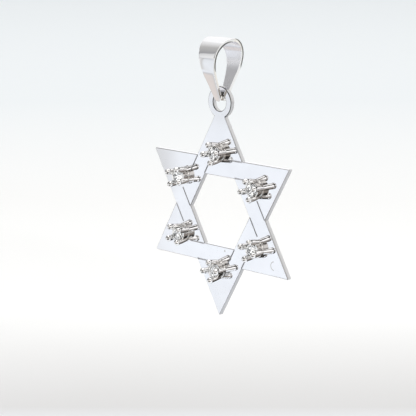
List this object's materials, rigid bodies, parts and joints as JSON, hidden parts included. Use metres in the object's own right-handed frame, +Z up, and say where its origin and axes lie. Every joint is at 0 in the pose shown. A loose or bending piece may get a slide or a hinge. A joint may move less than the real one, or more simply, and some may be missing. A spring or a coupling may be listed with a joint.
{
  "type": "star of david pendant",
  "caption": "Flat six-pointed star pendant of two interlaced triangles in polished white metal, with small round stones in claw settings, a flat eyelet and a folded tapered bail.",
  "frame": {"origin": "the inside top of the bail, where the neck chain bears on it", "axes": "+Z up with the pendant hanging, +X to the right as seen from the front, the star and its stones face -Y"},
  "size_m": [0.018, 0.004, 0.0272],
  "materials": {
    "white_gold": "polished",
    "clear_stone": "polished"
  },
  "bodies": {
    "bail": {"bail": "white_gold"},
    "star": {"star": "white_gold", "stone_top": "clear_stone", "stone_upper_right": "clear_stone", "stone_lower_right": "clear_stone", "stone_bottom": "clear_stone", "stone_lower_left": "clear_stone", "stone_upper_left": "clear_stone"}
  },
  "joints": [
    {"name": "star_swing", "type": "hinge", "parent": "bail", "child": "star", "pos_m": [0, 0, -0.0059], "axis": [0, 1, 0], "range_deg": [-120, 120]}
  ]
}
